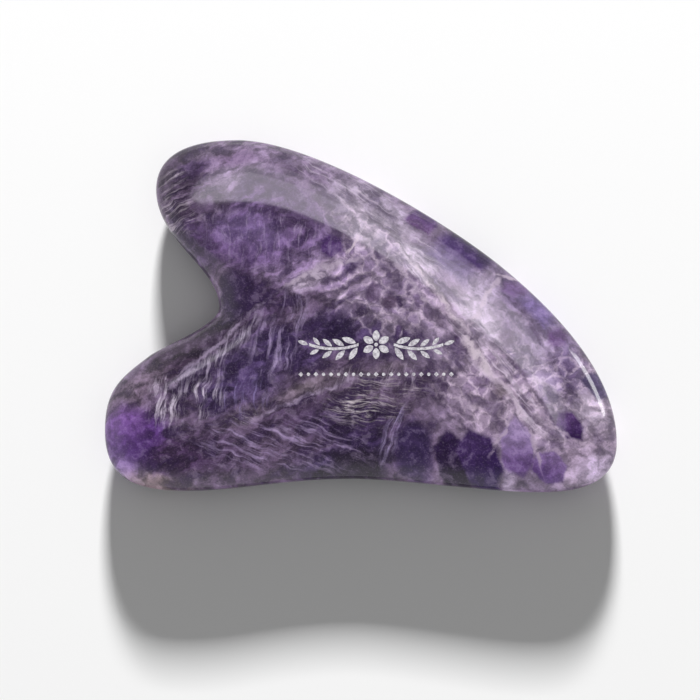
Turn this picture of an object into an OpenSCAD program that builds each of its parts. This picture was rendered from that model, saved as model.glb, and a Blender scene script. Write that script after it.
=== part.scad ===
// Gua sha scraper: a winged plate of polished amethyst with a small ornament printed on its face.
// It lies flat on its back. The origin is under the middle of its outline, on the surface that it rests on.
// +X runs along its length towards the far end, +Y across it towards the upper lobe, +Z up through its face.

/* [Stone] */
// Length of the stone, from the lower lobe's tip to the far end
stone_l = 85; // [70:0.5:100]
// Width of the stone, from the lower edge to the top of the upper lobe
stone_w = 58.5; // [48:0.5:70]
// Thickness between the two flat faces
stone_t = 8; // [5:0.5:10]
// Fullness of the rounded border: 2 is an ellipse, more is squarer
border_fullness = 2.2; // [2:0.1:3]

/* [Ornament] */
// Length of the printed sprig, tip to tip
sprig_l = 26; // [20:0.5:27]
// Diameter of the flower in its middle
blossom_d = 4.8; // [4:0.1:5.4]
// Number of petals
petal_count = 6; // [5:1:8]
// Leaf pairs on each stem
leaf_pairs = 4; // [2:1:4]
// Number of marks in the row below
row_count = 21; // [5:2:21]
// Thickness of the ink
ink_t = 0.05; // [0.04:0.01:0.1]

/* [Resolution] */
// Length of one facet along the stone's outline
facet_l = 2.2; // [1.8:0.1:6]
// Facets over the border, from the flat face to the widest line
border_steps = 7; // [4:1:8]

/* [Hidden] */

// The outline's knots, anticlockwise, drawn for a stone of 85 by 58.5:
// [x, y, heading in degrees, handle behind, handle ahead, width of the rounded border, slide].
// The flat face's edge has a knot for each, a border's width inward and the slide ahead along the heading.
DRAWN = [85, 58.5];
KNOTS = [
    [-42.5, -19, -90, 7, 8, 10, -1],            // tip of the lower lobe
    [-29, -29, 0, 8.5, 9, 9.5, 1],              // bottom of the lower lobe
    [-1.5, -27, 0, 11.5, 8, 11.5, 0],           // shallow hollow of the lower edge
    [30, -29.25, 0, 8.5, 8.5, 9, -3],           // bottom of the far end
    [42.5, -21, 90, 5.5, 10.5, 13, 0.5],        // far end
    [23, 8.5, 141, 14, 11, 10.5, 7],            // long upper edge
    [-20.5, 29.25, 180, 12.5, 9.5, 11, -3],     // top of the upper lobe
    [-34, 21, -90, 5, 8.5, 8, 6],               // side of the upper lobe
    [-23.5, 1.5, -90, 6.5, 3, 11, 0],           // root of the jaw notch
    [-35, -6.5, 217, 2.5, 6, 9, 1]              // upper side of the lower lobe
];
// A point that every edge of the flat face can be seen from
FACE_MIDDLE = [5, 1];

STONE_COLOUR = [0.36, 0.28, 0.46];
INK_COLOUR = [0.92, 0.92, 0.93];

// Middle of the sprig, and of the row of marks under it
SPRIG_AT = [2.5, -4.7];
ROW_AT = [2.5, -9.6];
STEM_W = 0.45;
STEM_RISE = 0.7;
STEM_GAP = 0.5;
LEAF_L = 2.5;
LEAF_W = 0.95;
LEAF_TILT = 38;
LEAF_SHRINK = 0.11;
LEAF_GAP = 0.15;
TIP_LEAF_L = 1.8;
PETAL_W = 1.15;
EYE_D = 0.6;
EYE_GAP = 0.25;
DOT_D = 0.55;
DIAMOND_W = 0.8;

half_t = stone_t / 2;
knot_scale = [stone_l / DRAWN[0], stone_w / DRAWN[1]];

function heading(angle) = [cos(angle), sin(angle)];
function inward(angle) = [-sin(angle), cos(angle)];
function place(knot) = [knot[0], knot[1]];
function mix(a, b, u) = a + (b - a) * u;
function bezier(a, b, c, d, u) =
    pow(1 - u, 3) * a + 3 * u * pow(1 - u, 2) * b + 3 * u * u * (1 - u) * c + pow(u, 3) * d;

// A knot's place on the outline when share is 0, and on the flat face's edge when it is 1
function moved(knot, share) =
    place(knot) + share * (knot[5] * inward(knot[2]) + knot[6] * heading(knot[2]));

// The curve from one knot to the next. Its handles shorten with the distance between the moved knots,
// so the flat face's edge keeps the outline's character.
function span_point(from, to, share, u) =
    let (a = moved(from, share), d = moved(to, share))
    let (reach = norm(d - a) / norm(place(to) - place(from)))
    bezier(a, a + heading(from[2]) * from[4] * reach, d - heading(to[2]) * to[3] * reach, d, u);

function span_steps(from, to) = max(3, round(norm(place(to) - place(from)) / facet_l));

function outline(share) = [
    for (i = [0 : len(KNOTS) - 1])
        let (from = KNOTS[i], to = KNOTS[(i + 1) % len(KNOTS)], steps = span_steps(from, to))
        for (k = [0 : steps - 1])
            let (p = span_point(from, to, share, k / steps))
            [p[0] * knot_scale[0], p[1] * knot_scale[1]]
];

// Over the border, the angle runs from -90 at the back's flat face to 90 at the front's
function border_inset(angle) = 1 - pow(cos(angle), 2 / border_fullness);
function border_height(angle) = half_t + sign(angle) * half_t * pow(abs(sin(angle)), 2 / border_fullness);

module stone_plate() {
    edge = outline(0);
    face = outline(1);
    n = len(edge);
    rings = 2 * border_steps;
    middle = [FACE_MIDDLE[0] * knot_scale[0], FACE_MIDDLE[1] * knot_scale[1]];
    border = [
        for (j = [0 : rings])
            let (angle = -90 + 180 * j / rings, inset = border_inset(angle), height = border_height(angle))
            for (i = [0 : n - 1])
                let (p = mix(edge[i], face[i], inset))
                [p[0], p[1], height]
    ];
    back_middle = len(border);
    front_middle = back_middle + 1;
    points = concat(border, [[middle[0], middle[1], 0], [middle[0], middle[1], stone_t]]);
    sides = [
        for (j = [0 : rings - 1])
            for (i = [0 : n - 1])
                let (a = j * n + i, b = j * n + (i + 1) % n)
                each [[a, a + n, b], [b, a + n, b + n]]
    ];
    back = [for (i = [0 : n - 1]) [back_middle, i, (i + 1) % n]];
    front = [for (i = [0 : n - 1]) [front_middle, rings * n + (i + 1) % n, rings * n + i]];
    color(STONE_COLOUR)
        polyhedron(points, concat(sides, back, front), convexity = 6);
}

// One layer of ink on the stone's front face
module ink(at) {
    color(INK_COLOUR)
        translate([at[0], at[1], stone_t])
            linear_extrude(ink_t)
                children();
}

// A leaf shape from its root at the origin along +X
module lens(length, width) {
    radius = (length * length + width * width) / (4 * width);
    intersection() {
        translate([length / 2, radius - width / 2])
            circle(radius, $fn = 180);
        translate([length / 2, width / 2 - radius])
            circle(radius, $fn = 180);
    }
}

stem_from = blossom_d / 2 + STEM_GAP;
stem_to = sprig_l / 2 - TIP_LEAF_L - LEAF_GAP;
stem_run = stem_to - stem_from;
// The stem is an arc that dips by STEM_RISE in its middle
stem_radius = (stem_run * stem_run / 4 + STEM_RISE * STEM_RISE) / (2 * STEM_RISE);
stem_centre = [(stem_from + stem_to) / 2, stem_radius - STEM_RISE];
stem_half_angle = asin(stem_run / 2 / stem_radius);

// A place on the stem's middle line, at a share of the way along it
function stem_angle(share) = -90 + stem_half_angle * (2 * share - 1);
function stem_point(share) = stem_centre + stem_radius * heading(stem_angle(share));

module both_sides() {
    children();
    mirror([1, 0])
        children();
}

module stem() {
    intersection() {
        difference() {
            translate(stem_centre)
                circle(stem_radius + STEM_W / 2, $fn = 360);
            translate(stem_centre)
                circle(stem_radius - STEM_W / 2, $fn = 360);
        }
        translate([stem_from, -2 * STEM_RISE])
            square([stem_run, 2 * STEM_RISE + STEM_W]);
    }
}

module leaf(share, side, length) {
    along = stem_angle(share) + 90;
    root = stem_point(share) + side * inward(along) * (STEM_W / 2 + LEAF_GAP);
    translate(root)
        rotate(along + side * LEAF_TILT)
            lens(length, LEAF_W * length / LEAF_L);
}

module leaves() {
    for (i = [0 : leaf_pairs - 1])
        for (side = [-1, 1])
            leaf((i + 0.15) / leaf_pairs, side, LEAF_L * (1 - LEAF_SHRINK * i));
    translate(stem_point(1) + [LEAF_GAP, 0])
        rotate(stem_half_angle)
            lens(TIP_LEAF_L, LEAF_W * TIP_LEAF_L / LEAF_L);
}

module print_stem() {
    ink(SPRIG_AT)
        both_sides()
            stem();
}

module print_leaves() {
    ink(SPRIG_AT)
        both_sides()
            leaves();
}

module print_blossom() {
    petal_from = EYE_D / 2 + EYE_GAP;
    ink(SPRIG_AT) {
        circle(EYE_D / 2, $fn = 180);
        for (i = [0 : petal_count - 1])
            rotate(90 + i * 360 / petal_count)
                translate([petal_from, 0])
                    lens(blossom_d / 2 - petal_from, PETAL_W * 6 / max(6, petal_count));
    }
}

module print_dot_row() {
    pitch = sprig_l / row_count;
    last = (row_count - 1) / 2;
    ink(ROW_AT)
        for (i = [-last : last])
            translate([i * pitch, 0])
                if (abs(i) % 2 == 0)
                    rotate(45)
                        square(DIAMOND_W / sqrt(2), center = true);
                else
                    circle(DOT_D / 2, $fn = 180);
}

stone_plate();
print_stem();
print_leaves();
print_blossom();
print_dot_row();
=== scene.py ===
# A gua sha scraper of polished amethyst, lying on its back on a pale floor.
# Objects are in metres, in the frame's axes. The outline and the stone's pattern are in millimetres.

import math

import bpy
import numpy as np
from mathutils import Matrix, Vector


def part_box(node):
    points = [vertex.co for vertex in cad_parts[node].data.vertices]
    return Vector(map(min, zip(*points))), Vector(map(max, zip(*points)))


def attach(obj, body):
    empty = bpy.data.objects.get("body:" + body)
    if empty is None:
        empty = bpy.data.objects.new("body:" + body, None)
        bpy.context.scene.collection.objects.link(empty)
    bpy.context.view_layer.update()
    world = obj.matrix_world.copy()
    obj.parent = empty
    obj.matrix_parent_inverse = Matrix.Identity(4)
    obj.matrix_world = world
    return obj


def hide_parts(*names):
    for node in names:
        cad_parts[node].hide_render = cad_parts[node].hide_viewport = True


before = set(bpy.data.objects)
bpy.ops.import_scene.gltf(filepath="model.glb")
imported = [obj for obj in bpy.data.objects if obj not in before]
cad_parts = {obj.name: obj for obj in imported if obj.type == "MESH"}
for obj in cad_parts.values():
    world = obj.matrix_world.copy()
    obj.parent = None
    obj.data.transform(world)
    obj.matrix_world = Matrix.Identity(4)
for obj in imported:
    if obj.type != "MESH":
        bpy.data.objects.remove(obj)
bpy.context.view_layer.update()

MM = 0.001

# ---------------------------------------------------------------- the stone's shape

# The outline's knots, anticlockwise, the same as the CAD stone's:
# x, y, heading in degrees, handle behind, handle ahead, width of the rounded border, slide.
# The flat face's edge has a knot for each, a border's width inward and the slide ahead along the heading.
KNOTS = [
    (-42.5, -19, -90, 7, 8, 10, -1),
    (-29, -29, 0, 8.5, 9, 9.5, 1),
    (-1.5, -27, 0, 11.5, 8, 11.5, 0),
    (30, -29.25, 0, 8.5, 8.5, 9, -3),
    (42.5, -21, 90, 5.5, 10.5, 13, 0.5),
    (23, 8.5, 141, 14, 11, 10.5, 7),
    (-20.5, 29.25, 180, 12.5, 9.5, 11, -3),
    (-34, 21, -90, 5, 8.5, 8, 6),
    (-23.5, 1.5, -90, 6.5, 3, 11, 0),
    (-35, -6.5, 217, 2.5, 6, 9, 1),
]
# The flat face's rings shrink towards this point, which can be seen from all of its edge
FACE_MIDDLE = np.array([5.0, 1.0])
# The share of the way to that point where the last ring lies
LAST_RING = 0.97
# Fullness of the rounded border: 2 is an ellipse, more is squarer
BORDER_FULLNESS = 2.2
POINT_SPACING = 0.55
FEWEST_POINTS = 6
BORDER_RINGS = 18
FACE_RINGS = 14


def heading(angle):
    """The unit vector that points along an angle in degrees."""
    return np.array([math.cos(math.radians(angle)), math.sin(math.radians(angle))])


def moved_knot(knot, share):
    """The knot on the outline when share is 0, and on the flat face's edge when it is 1."""
    x, y, angle, _, _, border, slide = knot
    return np.array([x, y]) + share * (border * heading(angle + 90) + slide * heading(angle))


def bezier(a, b, c, d, u):
    """The point at u, from 0 to 1, of the curve from a to d with the handles b and c."""
    return (1 - u) ** 3 * a + 3 * u * (1 - u) ** 2 * b + 3 * u**2 * (1 - u) * c + u**3 * d


def closed_line(share):
    """Points along the outline (share 0) or the flat face's edge (share 1), matched one to one."""
    points = []
    for start, end in zip(KNOTS, KNOTS[1:] + KNOTS[:1]):
        a, d = moved_knot(start, share), moved_knot(end, share)
        chord = math.dist(start[:2], end[:2])
        reach = math.dist(a, d) / chord
        b = a + heading(start[2]) * start[4] * reach
        c = d - heading(end[2]) * end[3] * reach
        steps = max(FEWEST_POINTS, round(chord / POINT_SPACING))
        points += [bezier(a, b, c, d, k / steps) for k in range(steps)]
    return np.array(points)


def stone_rings(low, high):
    """Rings of points with their heights, from the back's middle over the border to the front's middle."""
    edge = closed_line(0)
    face = closed_line(1)
    half = (high - low) / 2
    inner = [face + (FACE_MIDDLE - face) * LAST_RING * k / FACE_RINGS for k in range(1, FACE_RINGS + 1)]
    rings = [(ring, low) for ring in reversed(inner)]
    for k in range(-BORDER_RINGS, BORDER_RINGS + 1):
        angle = math.pi / 2 * k / BORDER_RINGS
        inset = 1 - max(math.cos(angle), 0) ** (2 / BORDER_FULLNESS)
        rise = math.copysign(abs(math.sin(angle)) ** (2 / BORDER_FULLNESS), angle)
        rings.append((edge + (face - edge) * inset, low + half + half * rise))
    return rings + [(ring, high) for ring in inner]


def make_stone(low, high):
    """The plate between two heights: flat faces and a rounded border, as one closed skin."""
    rings = stone_rings(low, high)
    n = len(rings[0][0])
    points = [(x, y, z) for ring, z in rings for x, y in ring]
    points += [(*FACE_MIDDLE, low), (*FACE_MIDDLE, high)]
    faces = [
        (j * n + i, j * n + (i + 1) % n, (j + 1) * n + (i + 1) % n, (j + 1) * n + i)
        for j in range(len(rings) - 1)
        for i in range(n)
    ]
    last = (len(rings) - 1) * n
    faces += [(len(points) - 2, (i + 1) % n, i) for i in range(n)]
    faces += [(len(points) - 1, last + i, last + (i + 1) % n) for i in range(n)]
    mesh = bpy.data.meshes.new("polished_stone")
    mesh.from_pydata([Vector(p) * MM for p in points], [], faces)
    mesh.shade_smooth()
    mesh.update()
    return bpy.data.objects.new("polished_stone", mesh)


stone_low, stone_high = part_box("stone_plate")
stone = make_stone(stone_low.z / MM, stone_high.z / MM)
bpy.context.scene.collection.objects.link(stone)
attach(stone, "root")
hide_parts("stone_plate")

# ---------------------------------------------------------------- drawing with shader nodes

# How deep a patch is in millimetres: so deep that the plate's thickness hardly counts
ALL_DEPTHS = 1000.0


def linear(code):
    """A colour written as six hexadecimal digits, in the linear light that shaders use."""
    parts = [int(code[i : i + 2], 16) / 255 for i in (0, 2, 4)]
    return tuple(c / 12.92 if c <= 0.04045 else ((c + 0.055) / 1.055) ** 2.4 for c in parts)


class Graph:
    """Short names for the nodes of one material. All but set and node return output sockets.

    A node is made after the nodes that it reads, because a shader this large compiles only in that order.
    """

    def __init__(self, name):
        self.material = bpy.data.materials.new(name)
        self.material.use_nodes = True
        self.tree = self.material.node_tree
        self.shader = self.tree.nodes["Principled BSDF"]

    def set(self, socket, value):
        """Links a socket to an output, or gives it a value of its own."""
        if isinstance(value, bpy.types.NodeSocket):
            self.tree.links.new(value, socket)
        elif socket.type == "RGBA" and len(value) == 3:
            socket.default_value = (*value, 1)
        else:
            socket.default_value = value

    def node(self, kind, **settings):
        made = self.tree.nodes.new("ShaderNode" + kind)
        for name, value in settings.items():
            setattr(made, name, value)
        return made

    def math(self, operation, a, b):
        made = self.node("Math", operation=operation)
        self.set(made.inputs[0], a)
        self.set(made.inputs[1], b)
        return made.outputs[0]

    def times(self, a, b):
        return self.math("MULTIPLY", a, b)

    def vector(self, operation, a, b=(0, 0, 0), scale=None):
        made = self.node("VectorMath", operation=operation)
        self.set(made.inputs[0], a)
        self.set(made.inputs[1], b)
        if scale is not None:
            self.set(made.inputs["Scale"], scale)
        return made.outputs["Value" if operation == "DOT_PRODUCT" else "Vector"]

    def fade(self, value, start, end, low=0.0, high=1.0):
        """Goes smoothly from low to high as the value goes from start to end."""
        made = self.node("MapRange", interpolation_type="SMOOTHSTEP", clamp=False)
        self.set(made.inputs["Value"], value)
        for name, number in (("From Min", start), ("From Max", end), ("To Min", low), ("To Max", high)):
            self.set(made.inputs[name], number)
        return made.outputs["Result"]

    def mix(self, amount, a, b):
        made = self.node("Mix", data_type="RGBA")
        self.set(made.inputs["Factor"], amount)
        self.set(made.inputs["A"], a)
        self.set(made.inputs["B"], b)
        return made.outputs["Result"]

    def noise(self, place, scale, detail, rough, output="Fac"):
        made = self.node("TexNoise")
        self.set(made.inputs["Vector"], place)
        self.set(made.inputs["Scale"], scale)
        self.set(made.inputs["Detail"], detail)
        self.set(made.inputs["Roughness"], rough)
        return made.outputs[output]

    def wander(self, place, scale, reach):
        """A drift in metres, of up to half a reach in millimetres each way."""
        drift = self.vector("SUBTRACT", self.noise(place, scale, 2.0, 0.5, "Color"), (0.5, 0.5, 0.5))
        return self.vector("SCALE", drift, scale=reach * MM)

    def cells(self, place, scale, feature, output):
        made = self.node("TexVoronoi", feature=feature)
        self.set(made.inputs["Vector"], place)
        self.set(made.inputs["Scale"], scale)
        return made.outputs[output]

    def turned(self, place, at, turn, size, deep):
        """Coordinates centred on a place and turned by degrees, in units of a size and a depth."""
        made = self.node("Mapping", vector_type="TEXTURE")
        self.set(made.inputs["Vector"], place)
        self.set(made.inputs["Location"], (*at, 0))
        self.set(made.inputs["Rotation"], (0, 0, math.radians(turn)))
        self.set(made.inputs["Scale"], (*size, deep))
        return made.outputs["Vector"]

    def millimetres(self, place):
        return self.turned(place, (0, 0), 0.0, (MM, MM), MM)

    def patch(self, place, at, size, turn, soft):
        """1 inside an ellipse and 0 outside it, with a soft edge, at every depth."""
        rim = 1 + soft
        inner = self.turned(place, at, turn, (size[0] * rim, size[1] * rim), ALL_DEPTHS)
        ball = self.node("TexGradient", gradient_type="SPHERICAL")
        self.set(ball.inputs["Vector"], inner)
        return self.fade(ball.outputs["Fac"], 0, 1 - (1 - soft) / rim)

    def patches(self, place, shapes, soft):
        """The strongest of several patches at each point."""
        masks = [self.patch(place, *shape, soft) for shape in shapes]
        total = masks[0]
        for mask in masks[1:]:
            total = self.math("MAXIMUM", total, mask)
        return total

    def gem(self, place, where, sides, soft):
        """1 inside a crystal's flat-sided outline and 0 outside it, and the place along its turned Y."""
        at, size, turn = where
        inner = self.vector("SUBTRACT", place, (*at, 0))

        def along(direction):
            a, t = math.radians(direction), math.radians(turn)
            u, v = math.cos(a) / size[0], math.sin(a) / size[1]
            axis = (u * math.cos(t) - v * math.sin(t), u * math.sin(t) + v * math.cos(t), 0)
            return self.vector("DOT_PRODUCT", inner, axis)

        reach = along(sides[0])
        for side in sides[1:]:
            reach = self.math("MAXIMUM", reach, along(side))
        return self.fade(reach, 1 + soft, 1 - soft), along(90)

    def streaks(self, place, turn, length, width, low, high):
        """Fibres of a length and a width that run at an angle: 1 on a fibre and 0 beside it."""
        stretched = self.turned(place, (0, 0), turn, (length, width), length)
        return self.fade(self.noise(stretched, 1.0, 4.0, 0.65), low, high)


# ---------------------------------------------------------------- amethyst

# A place in these lists is its middle (x, y), its reach (along, across) and its turn in degrees.
# A colour is six hexadecimal digits, and strength and softness go from 0 to 1. Each entry is painted over
# those before it.

GROUND = "5e5167"
# Soft zones of colour: colour, strength, softness, places
ZONES = [
    # milky right half
    ("857890", 1.0, 0.5, [((21, -7), (22, 13), -52), ((3, 5), (12, 6), -40)]),
    ("9a8ba0", 0.9, 0.6, [((23, -14), (8, 6), 0), ((20, -6), (3, 8), 35), ((16, 1), (7, 4), -40)]),
    ("a293a8", 0.8, 0.6, [((39, -18.5), (4, 5), 0), ((36, -24), (5, 4), 0), ((27, -16), (4, 4), 0)]),
    ("75678a", 0.8, 0.6, [((31, -5), (7, 3), -55), ((26, 4), (6, 2.6), -45), ((33, -11), (4, 3), 0)]),
    ("655574", 0.8, 0.6, [
        ((25, -4.5), (4, 2.2), -50),
        ((28, -8), (3, 2.4), 0),
        ((10, 8), (5, 2.4), -40),
    ]),
    ("b9adc0", 0.9, 0.6, [
        ((9.2, 9.2), (3.2, 1.7), -45),
        ((19.5, -1), (5, 2.4), -62),
        ((37, -15.5), (3.4, 3), 0),
    ]),
    ("a99cb4", 0.8, 0.6, [
        ((28.6, -2.8), (4, 2.4), -55),
        ((20.5, 5.4), (3, 2), -45),
        ((39, -25.5), (3.4, 3), 0),
        ((24, -26), (1, 3.4), -10),
    ]),
    ("5c4c6c", 0.8, 0.6, [((19.5, -9.6), (1.8, 2.4), 0)]),
    # violet of the upper lobe
    ("6c5a80", 1.0, 0.4, [((-16, 14), (13, 6.5), -14), ((-10, 11), (9, 5), -20)]),
    ("544464", 0.8, 0.6, [((-13, 19.5), (5, 3), -10), ((-12, 15), (4, 3), 0), ((-16, 23), (5, 2), -10)]),
    ("8d7e99", 0.9, 0.5, [((-16, 27), (12, 2.4), -4), ((-3, 22), (9, 3.4), -24), ((-23, 23), (4, 3), 0)]),
    ("a79cb0", 0.9, 0.5, [
        ((-1, 19.6), (5, 2.6), -30),
        ((4, 17.4), (6, 2.2), -34),
        ((1, 13.5), (3, 2), -40),
    ]),
    ("b5a8bc", 0.85, 0.5, [((-8, 6.4), (3.4, 1.7), 28)]),
    ("8a7a98", 0.7, 0.6, [((-8, 8), (8, 3), 8), ((-3, 6.5), (5, 3.4), 0), ((7, 3), (5, 4), -30)]),
    ("4c4055", 0.9, 0.5, [((-32, 20), (4, 9), 0), ((-26, 18), (5, 4), 0)]),
    ("483b57", 1.0, 0.4, [((-27.5, 12), (5, 3), -52), ((-28.5, 24.5), (3.4, 1.6), 20)]),
    ("64556e", 0.8, 0.5, [((-21, 26.6), (3.4, 1.6), 0)]),
    # round the jaw notch
    ("403050", 1.0, 0.4, [((-20.6, 3.6), (3.4, 3.8), -20)]),
    ("4b3d59", 0.9, 0.5, [((-15.5, 2.5), (4, 3), 0), ((-16, -4), (4.5, 4), 0)]),
    ("352a3e", 1.0, 0.4, [((-24.5, -3), (6.5, 2.4), 40)]),
    ("3f3346", 1.0, 0.4, [((-31.5, -7.2), (6.5, 3), 32)]),
    ("43385a", 0.9, 0.5, [((-19, -10), (6, 5), 20), ((-23, -13.5), (4, 3), 20), ((-14, -5), (4, 3), 0)]),
    ("6b6266", 0.8, 0.5, [
        ((-18, -16.4), (5, 1.5), 24),
        ((-8, -11.8), (7, 1.3), 20),
        ((3, -9.2), (6, 1), 14),
    ]),
    ("463a5c", 0.9, 0.5, [((-5, -2.2), (6, 3.2), 20), ((-9, -7), (4, 2), 20), ((3, -4), (8, 3), -5)]),
    # lower half
    ("5a4d63", 0.8, 0.5, [((-12, -19), (15, 6), 8), ((2, -13), (12, 5), 10)]),
    ("483b53", 0.8, 0.5, [
        ((-9, -16.5), (8, 2.4), 10),
        ((11, -11), (3.4, 2.4), 0),
        ((-24, -22), (6, 3), -20),
    ]),
    ("684f8a", 1.0, 0.5, [((-39.5, -19.5), (4, 4.6), 0)]),
    ("4c3668", 1.0, 0.5, [((-34.6, -20.5), (3.4, 4.4), 0)]),
    ("43344f", 1.0, 0.5, [((-30, -23), (5, 3), -10)]),
    ("806f96", 0.8, 0.6, [((-40, -24.5), (3, 2), -30)]),
    ("6c5f70", 0.9, 0.5, [((-37, -11.5), (5.4, 2.4), 30)]),
    ("76676e", 0.9, 0.5, [((-34, -28), (6, 2), -14)]),
    ("4e4158", 0.8, 0.5, [((-19, -26), (8, 2.4), 0)]),
    ("3a3050", 1.0, 0.5, [((-3, -24), (8, 2.8), 10), ((0, -20.5), (4, 2), 0)]),
    ("2b2238", 1.0, 0.4, [((-0.5, -24), (3.6, 2.6), 10), ((-7, -26), (4, 1.2), 6)]),
    ("332845", 0.9, 0.5, [((-1, -17.5), (7.5, 3.4), 4), ((-27.5, -10.5), (4, 2), 40)]),
    ("44375a", 1.0, 0.4, [((8.5, -22), (3, 4.4), 0)]),
]

# A crystal's outline is the directions that its sides face, in degrees
HEXAGON = (0, 60, 120, 180, 240, 300)
POINTED = (0, 55, 125, 180, 250, 300)
SLAB = (0, 90, 180, 270, 40)
# Crystals with flat sides: two colours, strength, softness, outline, place. The first colour is at the
# crystal's -Y end, before it is turned, and the second at its +Y end.
CRYSTALS = [
    ("553f74", "775a94", 0.85, 0.45, HEXAGON, ((-39.2, -19.4), (4.2, 4.4), 10)),
    ("382c4c", "382c4c", 0.8, 0.45, HEXAGON, ((-20.6, 3.4), (3.4, 3.6), -20)),
    ("66547c", "766890", 0.6, 0.5, HEXAGON, ((-19, 12.5), (6, 4), -12)),
    ("2c2338", "2c2338", 0.85, 0.4, SLAB, ((-1, -24.2), (4.6, 2.2), 4)),
    ("382e50", "382e50", 0.8, 0.35, HEXAGON, ((8.6, -22), (2.8, 4.2), 0)),
    ("352b44", "352b44", 0.7, 0.5, SLAB, ((-28, -10.4), (4, 1.6), 36)),
    ("241834", "34264a", 1.0, 0.12, HEXAGON, ((14.9, -23.8), (2.7, 4.4), 8)),
    ("2f204e", "44345e", 1.0, 0.12, HEXAGON, ((19.4, -23.6), (3.1, 4.6), 20)),
    ("665280", "9484a8", 1.0, 0.12, POINTED, ((25.7, -21.8), (2.6, 4.3), 4)),
    ("5a4478", "7a6890", 1.0, 0.12, HEXAGON, ((30.8, -24.8), (2.6, 2.4), -20)),
    ("3d2a58", "604a78", 1.0, 0.15, HEXAGON, ((34.3, -18), (1.7, 2.6), 40)),
    ("4a4068", "4a4068", 0.9, 0.2, SLAB, ((38, -11), (2.2, 1.3), -50)),
    ("6a5080", "4a3068", 0.95, 0.2, SLAB, ((9.3, 16.2), (2.4, 1.5), -30)),
    ("766990", "766990", 0.8, 0.4, SLAB, ((15, 9.4), (4, 2), -40)),
    ("46306a", "2c1948", 1.0, 0.25, SLAB, ((16.8, 11.7), (4.4, 1.6), -36)),
    ("7a6590", "7a6590", 0.9, 0.3, HEXAGON, ((24.7, 5.2), (1.8, 1.4), 0)),
    ("7e70a4", "7e70a4", 0.7, 0.5, SLAB, ((28.6, 1.4), (3, 1.2), -48)),
    ("6a5280", "6a5280", 0.9, 0.4, HEXAGON, ((31.8, -3.2), (1.3, 1.6), 0)),
    ("4c3768", "4c3768", 0.9, 0.2, HEXAGON, ((-4.9, 11.6), (1.7, 1.7), 0)),
    ("463658", "463658", 0.8, 0.4, POINTED, ((16.6, -4.4), (1.5, 2.2), 20)),
    ("2d2242", "2d2242", 0.9, 0.4, HEXAGON, ((-3.2, -2.4), (2.4, 2.4), 0)),
    ("5c4c6a", "5c4c6a", 0.8, 0.3, POINTED, ((2, 3.8), (1.2, 1.5), 0)),
    ("54445e", "54445e", 0.8, 0.3, HEXAGON, ((4.6, 2.2), (1.3, 1.1), 0)),
    ("6a5a74", "6a5a74", 0.8, 0.4, HEXAGON, ((23.8, -3.8), (1.1, 1.4), 0)),
    ("5d5058", "5d5058", 0.7, 0.5, HEXAGON, ((23.2, -12.2), (1.1, 1.2), 0)),
    ("45355e", "45355e", 0.8, 0.4, HEXAGON, ((-1.6, 8.2), (1.2, 0.9), 30)),
]

# Clusters of fibres: colour, strength, direction in degrees, length and width of one fibre, the two noise
# values between which a fibre appears, places
FIBRES = [
    ("b3a8be", 0.58, 78, 7, 0.85, 0.48, 0.66, [((-20.5, -3), (4.6, 2), 45), ((-25, -8.4), (5, 2.4), 42)]),
    ("c4bacb", 0.85, 82, 5, 0.85, 0.48, 0.66, [((-26, -13.6), (3, 2.8), 0), ((-32, -14), (2.8, 4), 0)]),
    ("9d90b0", 0.75, 80, 7, 0.8, 0.46, 0.66, [((-14.5, -5.5), (3.6, 4.4), 0), ((-11, 1), (2, 4), 0)]),
    ("8e84b0", 0.7, 86, 7, 0.6, 0.5, 0.7, [((-19.5, -13.4), (4, 3), 0)]),
    ("a89fa4", 0.75, -6, 3.5, 0.34, 0.48, 0.66, [((0.5, -15), (6, 2.8), 0), ((4, -11.6), (6, 2), -5)]),
    ("cbc3c8", 0.8, -12, 2.6, 0.34, 0.52, 0.68, [
        ((-0.5, -14.6), (4.4, 1.8), 0),
        ((-19, -16.8), (2, 0.8), 20),
    ]),
    ("9a8cac", 0.75, -20, 7, 0.8, 0.48, 0.68, [((-14, -21), (13, 4), -4), ((-6, -19.5), (5, 3.4), -10)]),
    ("a79cc0", 0.8, 68, 8, 0.8, 0.42, 0.65, [((5, -19.4), (4.6, 1.2), 68)]),
    ("9a8fa0", 0.8, 72, 5, 0.6, 0.48, 0.68, [((-4, -10.6), (5, 1.6), 20), ((8, -10), (5, 2), 0)]),
    ("a399a6", 0.8, 22, 7, 0.6, 0.48, 0.68, [((-30.5, 17), (4, 3.6), 20), ((-31.5, 22), (2.4, 3), 0)]),
    ("bdb3c2", 0.7, -32, 9, 0.5, 0.5, 0.68, [((-2, 21), (12, 2.6), -28), ((8, 12), (6, 2.4), -38)]),
    ("c8bdce", 0.75, -48, 9, 0.7, 0.46, 0.64, [
        ((9, 8), (5, 2), -45),
        ((20, -5), (9, 2.6), -56),
        ((27, -15), (5, 2.6), -50),
    ]),
    ("9d90aa", 0.5, 84, 5, 0.5, 0.5, 0.7, [((-15, 12), (12, 5), -15)]),
]

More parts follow.
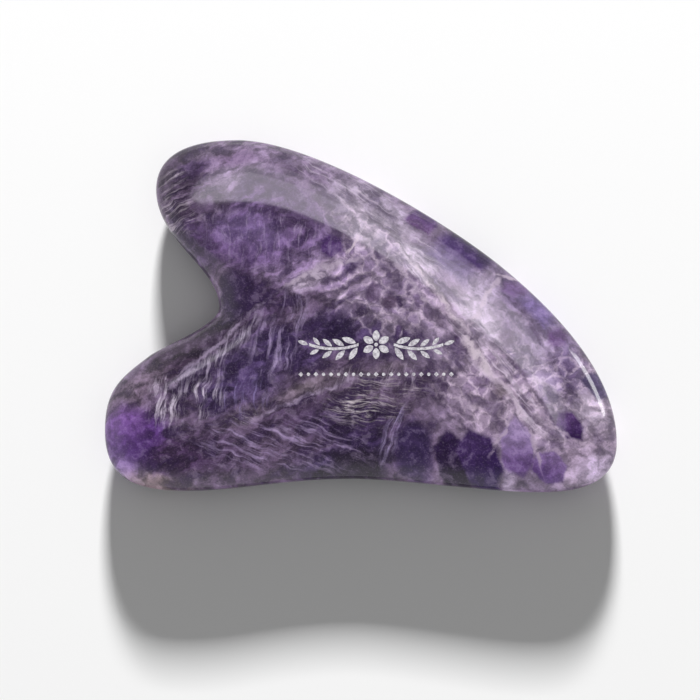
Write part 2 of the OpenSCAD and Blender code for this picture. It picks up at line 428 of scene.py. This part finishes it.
# Bright veins, thin and long, and a few dark cracks: colour, strength, places
VEINS = [
    ("c4b8c8", 0.7, [((-8.5, 6.2), (3, 1), 25)]),
    ("c9bcc8", 0.9, [
        ((-1.5, 11.2), (2.2, 0.25), 60),
        ((12.5, 3.6), (8, 0.5), -50),
        ((19.2, -6.6), (5, 0.7), -56),
    ]),
    ("c0b2c2", 0.8, [
        ((20, 2), (6, 0.4), 62),
        ((23.6, 7.2), (2.4, 0.35), 0),
        ((24.6, -13.2), (4, 0.5), -55),
    ]),
    ("b0a4b4", 0.8, [((-4, 8.6), (5, 0.5), 12), ((-9, 7), (4, 0.4), 30), ((7.5, 6), (6, 0.35), -48)]),
    ("ab9db0", 0.8, [
        ((23.2, -19.6), (3.4, 0.3), 62),
        ((28.6, -21), (4, 0.3), -78),
        ((31, -18), (4, 0.4), -30),
    ]),
    ("a396ae", 0.7, [
        ((-23, -3.6), (8.6, 0.35), 42),
        ((-30, -10.6), (3, 0.35), 30),
        ((-9, -13.4), (9, 0.4), 22),
    ]),
    ("2c2438", 0.8, [
        ((-30, 22.6), (2.6, 0.22), 25),
        ((-29.4, 21.2), (2.2, 0.18), 18),
        ((-30.4, 19.4), (2, 0.16), 20),
    ]),
    ("453a4c", 0.7, [
        ((2.5, 15.5), (5, 0.2), -33),
        ((7.5, 10.2), (5, 0.22), -50),
        ((11.5, 5.4), (5, 0.3), -48),
    ]),
]

# Where a net of quartz seams runs round violet cells
NET = [((4, 4), (11, 7), -38), ((22, -11), (10, 8), -20), ((33, -14), (8, 8), 0), ((2, 13), (8, 4), -40)]
# The milky half and the milky upper border, where the mottling is steeper and weaker
MILKY = [((22, -6), (22, 16), -50), ((0, 16), (16, 7), -32)]

NET_SOFTNESS = 0.4
MILKY_SOFTNESS = 0.5
FIBRE_SOFTNESS = 0.5
VEIN_SOFTNESS = 0.6

# The net has this many cells in each millimetre, and a seam fades out this share of a cell from its edge
CELL_SCALE = 0.5
SEAM_WIDTH = 0.2
SEAM_STRENGTH = 0.48

# Clouds of the mottling: turn in degrees, and length and width of one
STEEP_CLOUDS = (-44, (6, 2.2))
GENTLE_CLOUDS = (24, (5, 2))
CLOUD_DEPTH = 4

# How far the bands shift along X and Y for each unit of height
SLANT = (0.45, -0.3)

QUARTZ_IOR = 1.544


def slanted(g, metres, top):
    """Coordinates that shift sideways with the depth under the front face, as the stone's bands do."""
    split = g.node("SeparateXYZ")
    g.set(split.inputs[0], metres)
    depth = g.math("SUBTRACT", split.outputs["Z"], top)
    along = g.times(depth, SLANT[0])
    across = g.times(depth, SLANT[1])
    shift = g.node("CombineXYZ")
    g.set(shift.inputs["X"], along)
    g.set(shift.inputs["Y"], across)
    return g.vector("ADD", metres, shift.outputs[0])


def zones(g, place):
    """Broad soft areas of colour."""
    colour = linear(GROUND)
    for code, strength, soft, shapes in ZONES:
        mask = g.patches(place, shapes, soft)
        colour = g.mix(g.times(mask, strength), colour, linear(code))
    return colour


def net(g, colour, bent, rough):
    """Darker and paler cells with quartz seams between them, and a mask that breaks up the seams."""
    netted = g.patches(bent, NET, NET_SOFTNESS)
    tone = g.cells(rough, CELL_SCALE, "F1", "Color")
    split = g.node("SeparateColor")
    g.set(split.inputs[0], tone)
    for channel, code, start, strength in ((0, "4f4060", 0.4, 0.6), (1, "aa9cae", 0.5, 0.4)):
        chosen = g.fade(split.outputs[channel], start, 1.0, 0.0, strength)
        colour = g.mix(g.times(netted, chosen), colour, linear(code))
    broken = g.fade(g.noise(rough, 0.6, 4.0, 0.6), 0.38, 0.55, 0.25, 1.0)
    seams = g.fade(g.cells(rough, CELL_SCALE, "DISTANCE_TO_EDGE", "Distance"), SEAM_WIDTH, 0.0)
    amount = g.times(g.times(g.times(netted, broken), seams), SEAM_STRENGTH)
    return g.mix(amount, colour, linear("bfb1c0")), broken


def mottling(g, colour, bent, rough):
    """Light and dark clouds, drawn out along the bands, and the noise that they follow."""
    milky = g.patches(bent, MILKY, MILKY_SOFTNESS)
    steep = g.noise(g.turned(rough, (0, 0), *STEEP_CLOUDS, CLOUD_DEPTH), 1.0, 6.0, 0.55)
    gentle = g.noise(g.turned(rough, (0, 0), *GENTLE_CLOUDS, CLOUD_DEPTH), 1.0, 6.0, 0.55)
    cloudy = g.math("ADD", gentle, g.times(milky, g.math("SUBTRACT", steep, gentle)))
    # the power of 2 that scales the light: weaker where the stone is milky
    stops = g.times(g.fade(cloudy, 0.38, 0.62, -0.95, 0.7), g.fade(milky, 0, 1, 1.0, 0.62))
    colour = g.vector("SCALE", colour, scale=g.math("POWER", 2.0, stops))
    return g.mix(g.fade(cloudy, 0.5, 0.38, 0.0, 0.3), colour, linear("4a3868")), cloudy


def crystals(g, colour, place):
    """Single flat-sided crystals, some of them paler or darker towards one end."""
    for base, tip, strength, soft, sides, where in CRYSTALS:
        mask, along = g.gem(place, where, sides, soft)
        shade = g.mix(g.fade(along, -0.8, 0.9), linear(base), linear(tip))
        colour = g.mix(g.times(mask, strength), colour, shade)
    return colour


def fibres(g, colour, place):
    """Clusters of bright fibres."""
    for code, strength, turn, length, width, low, high, shapes in FIBRES:
        mask = g.patches(place, shapes, FIBRE_SOFTNESS)
        threads = g.streaks(place, turn, length, width, low, high)
        colour = g.mix(g.times(g.times(mask, threads), strength), colour, linear(code))
    return colour


def speckles(g, colour, place):
    """Fine mottling, over the crystals too."""
    speckled = g.noise(place, 0.6, 5.0, 0.56)
    colour = g.vector("SCALE", colour, scale=g.fade(speckled, 0.36, 0.64, 0.78, 1.24))
    return g.mix(g.fade(speckled, 0.54, 0.68, 0.0, 0.14), colour, linear("b9acc4"))


def veins(g, colour, place, broken):
    """Thin veins and cracks, broken up as the net's seams are."""
    for code, strength, shapes in VEINS:
        mask = g.times(g.patches(place, shapes, VEIN_SOFTNESS), broken)
        colour = g.mix(g.times(mask, strength), colour, linear(code))
    return colour


def grain(g, colour, place):
    """The finest pale and dark grains."""
    grains = g.noise(place, 3.2, 3.0, 0.7)
    colour = g.mix(g.fade(grains, 0.5, 0.75, 0.0, 0.12), colour, linear("c4b8c8"))
    return g.mix(g.fade(grains, 0.48, 0.25, 0.0, 0.3), colour, linear("241b33"))


def graded(g, colour):
    """More contrast, a little more red and more light over the whole stone."""
    deep = g.node("Gamma")
    g.set(deep.inputs["Color"], colour)
    deep.inputs["Gamma"].default_value = 1.18
    vivid = g.node("HueSaturation")
    g.set(vivid.inputs["Color"], deep.outputs["Color"])
    vivid.inputs["Hue"].default_value = 0.513
    vivid.inputs["Value"].default_value = 1.33
    vivid.inputs["Saturation"].default_value = 1.02
    return vivid.outputs["Color"]


def amethyst(top):
    """Polished chevron amethyst. top is the height of the front face, in metres."""
    g = Graph("amethyst")
    metres = g.node("TexCoord").outputs["Object"]
    here = g.millimetres(metres)
    flat = slanted(g, metres, top)
    swept = g.vector("ADD", flat, g.wander(here, 0.22, 2.4))
    bent = g.millimetres(swept)
    rough = g.millimetres(g.vector("ADD", swept, g.wander(here, 0.9, 1.1)))

    colour = zones(g, rough)
    colour, broken = net(g, colour, bent, rough)
    colour, cloudy = mottling(g, colour, bent, rough)
    edged = g.vector("ADD", flat, g.vector("ADD", g.wander(here, 0.5, 0.7), g.wander(here, 2.4, 0.3)))
    edged = g.vector("SCALE", edged, scale=1 / MM)
    colour = crystals(g, colour, edged)
    colour = fibres(g, colour, bent)
    colour = speckles(g, colour, rough)
    colour = veins(g, colour, rough, broken)
    colour = grain(g, colour, here)

    g.set(g.shader.inputs["Base Color"], graded(g, colour))
    g.set(g.shader.inputs["Roughness"], g.fade(cloudy, 0.3, 0.7, 0.04, 0.09))
    g.shader.inputs["IOR"].default_value = QUARTZ_IOR
    return g.material


def white_ink():
    """Printed ink, thin and a little worn."""
    g = Graph("white_ink")
    here = g.vector("SCALE", g.node("TexCoord").outputs["Object"], scale=1 / MM)
    worn = g.noise(here, 2.2, 5.0, 0.7)
    shade = g.mix(g.fade(worn, 0.35, 0.62), linear("a39ca8"), linear("e4e1e6"))
    g.set(g.shader.inputs["Base Color"], shade)
    g.set(g.shader.inputs["Roughness"], g.fade(worn, 0.3, 0.7, 0.5, 0.3))
    return g.material


stone.data.materials.append(amethyst(stone_high.z))

# The printed pieces keep their CAD meshes
PRINT = ("print_stem", "print_leaves", "print_blossom", "print_dot_row")
ink = white_ink()
for name in PRINT:
    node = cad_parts[name]
    node.data.materials.clear()
    node.data.materials.append(ink)

# ---------------------------------------------------------------- floor and camera

bpy.ops.mesh.primitive_plane_add(size=12, location=(0, 0, 0))
floor = bpy.context.object
floor.name = "floor"
paper = Graph("floor_paper")
paper.set(paper.shader.inputs["Base Color"], (0.9, 0.9, 0.9))
paper.set(paper.shader.inputs["Roughness"], 0.9)
floor.data.materials.append(paper.material)

# The camera looks straight down. Its view is this wide at the middle of the stone's thickness.
VIEW_WIDTH = 116.2 * MM
VIEW_MIDDLE = (-1.8 * MM, -5.6 * MM)
camera_data = bpy.data.cameras.new("camera")
camera_data.lens = 150
camera_data.sensor_width = 36
camera = bpy.data.objects.new("camera", camera_data)
camera_distance = VIEW_WIDTH * camera_data.lens / camera_data.sensor_width
camera.location = (*VIEW_MIDDLE, camera_distance + (stone_low.z + stone_high.z) / 2)
bpy.context.scene.collection.objects.link(camera)
bpy.context.scene.camera = camera

# ---------------------------------------------------------------- light

ORIGIN = (0, 0, 0)


def only_lights(name, light, objects):
    """Lets a light reach only some objects."""
    group = bpy.data.collections.new(name)
    for obj in objects:
        group.objects.link(obj)
    light.light_linking.receiver_collection = group


def softbox(name, centre, size, radiance, aim=None):
    """A rectangular light. It faces straight down, or towards a point it is aimed at."""
    data = bpy.data.lights.new(name, "AREA")
    data.shape = "RECTANGLE"
    data.size, data.size_y = size
    data.energy = radiance * math.pi * size[0] * size[1]
    light = bpy.data.objects.new(name, data)
    light.location = centre
    if aim is not None:
        light.rotation_mode = "QUATERNION"
        light.rotation_quaternion = (Vector(centre) - Vector(aim)).to_track_quat("Z", "Y")
    light.visible_camera = False
    bpy.context.scene.collection.objects.link(light)
    return light


def around(azimuth, from_vertical, distance):
    """A place round the stone. Azimuth is anticlockwise from +X, in degrees."""
    a, t = math.radians(azimuth), math.radians(from_vertical)
    return Vector((math.cos(a) * math.sin(t), math.sin(a) * math.sin(t), math.cos(t))) * distance


# The veil is a large softbox overhead that shows in the polish of the upper border. It is three sheets
# with one near side, so that side is crisp and the others fade. They hang a little apart, because lights at
# one height hide one another.
VEIL_AZIMUTH = 64
# A sheet's sides are angles from straight up: near and far along the azimuth, west and east across it
VEIL_NEAR = 3.8
VEIL_SHEETS = [
    # far, west, east
    (22, -14, 10),
    (30, -17, 13),
    (38, -20, 15),
]
VEIL_HEIGHT = 1.0
VEIL_GAP = 0.02
VEIL_RADIANCE = 1.4
VEIL_COLOUR = (1.0, 0.93, 1.05)


def veil_sheet(name, height, sides):
    """One sheet of the veil at a height. Its sides are far, west and east."""
    turn = math.radians(VEIL_AZIMUTH - 90)
    near, far, west, east = (height * math.tan(math.radians(angle)) for angle in (VEIL_NEAR, *sides))
    across, along = (west + east) / 2, (near + far) / 2
    centre = (
        across * math.cos(turn) - along * math.sin(turn),
        across * math.sin(turn) + along * math.cos(turn),
        height,
    )
    sheet = softbox(name, centre, (east - west, far - near), VEIL_RADIANCE)
    sheet.data.color = VEIL_COLOUR
    sheet.rotation_euler = (0, 0, turn)
    return sheet


object_pieces = [stone] + [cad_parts[name] for name in PRINT]

for i, sides in enumerate(VEIL_SHEETS):
    veil = veil_sheet(f"veil_{i}", VEIL_HEIGHT + VEIL_GAP * i, sides)
    only_lights(f"veil_{i}_receivers", veil, object_pieces)
    veil.visible_diffuse = False

# A small softbox makes the bright crescent at the far end
strip = softbox("strip", around(20, 62, 1.0), size=(0.35, 0.2), radiance=8.5, aim=ORIGIN)
only_lights("strip_receivers", strip, object_pieces)
strip.visible_diffuse = False

# Four fills light the borders, without showing in the polish
for azimuth in (45, 135, 225, 315):
    fill = softbox(f"fill_{azimuth}", around(azimuth, 55, 1.5), size=(1.0, 1.0), radiance=2.2, aim=ORIGIN)
    only_lights(f"fill_{azimuth}_receivers", fill, object_pieces)
    fill.visible_glossy = False

# A low key light behind the stone casts its shadow on the floor
key = softbox("key", around(90, 77, 2.5), size=(0.3, 0.15), radiance=1500, aim=ORIGIN)
only_lights("key_receivers", key, [floor])

# The world is white where the camera sees it, and lights evenly. In the polish it is bright below one
# height and dim above another. Heights go from 0 at the horizon to 1 straight up.
SEEN_LIGHT = 1.0
EVEN_LIGHT = 0.28
BRIGHT_BELOW = 0.5
BRIGHT_LIGHT = 0.8
DIM_ABOVE = 0.95
DIM_LIGHT = 0.1
world = bpy.data.worlds.new("studio")
bpy.context.scene.world = world
world.use_nodes = True
nodes, links = world.node_tree.nodes, world.node_tree.links
background = nodes["Background"]
background.inputs["Color"].default_value = (1, 1, 1, 1)
coords = nodes.new("ShaderNodeTexCoord")
direction = nodes.new("ShaderNodeSeparateXYZ")
links.new(coords.outputs["Generated"], direction.inputs[0])
polish_light = nodes.new("ShaderNodeMapRange")
polish_light.interpolation_type = "SMOOTHSTEP"
links.new(direction.outputs["Z"], polish_light.inputs["Value"])
polish_light.inputs["From Min"].default_value = BRIGHT_BELOW
polish_light.inputs["From Max"].default_value = DIM_ABOVE
polish_light.inputs["To Min"].default_value = BRIGHT_LIGHT
polish_light.inputs["To Max"].default_value = DIM_LIGHT
path = nodes.new("ShaderNodeLightPath")
unseen_light = nodes.new("ShaderNodeMix")
links.new(path.outputs["Is Glossy Ray"], unseen_light.inputs["Factor"])
unseen_light.inputs["A"].default_value = EVEN_LIGHT
links.new(polish_light.outputs[0], unseen_light.inputs["B"])
brightness = nodes.new("ShaderNodeMix")
links.new(path.outputs["Is Camera Ray"], brightness.inputs["Factor"])
links.new(unseen_light.outputs[0], brightness.inputs["A"])
brightness.inputs["B"].default_value = SEEN_LIGHT
links.new(brightness.outputs[0], background.inputs["Strength"])

bpy.context.scene.view_settings.view_transform = "Standard"
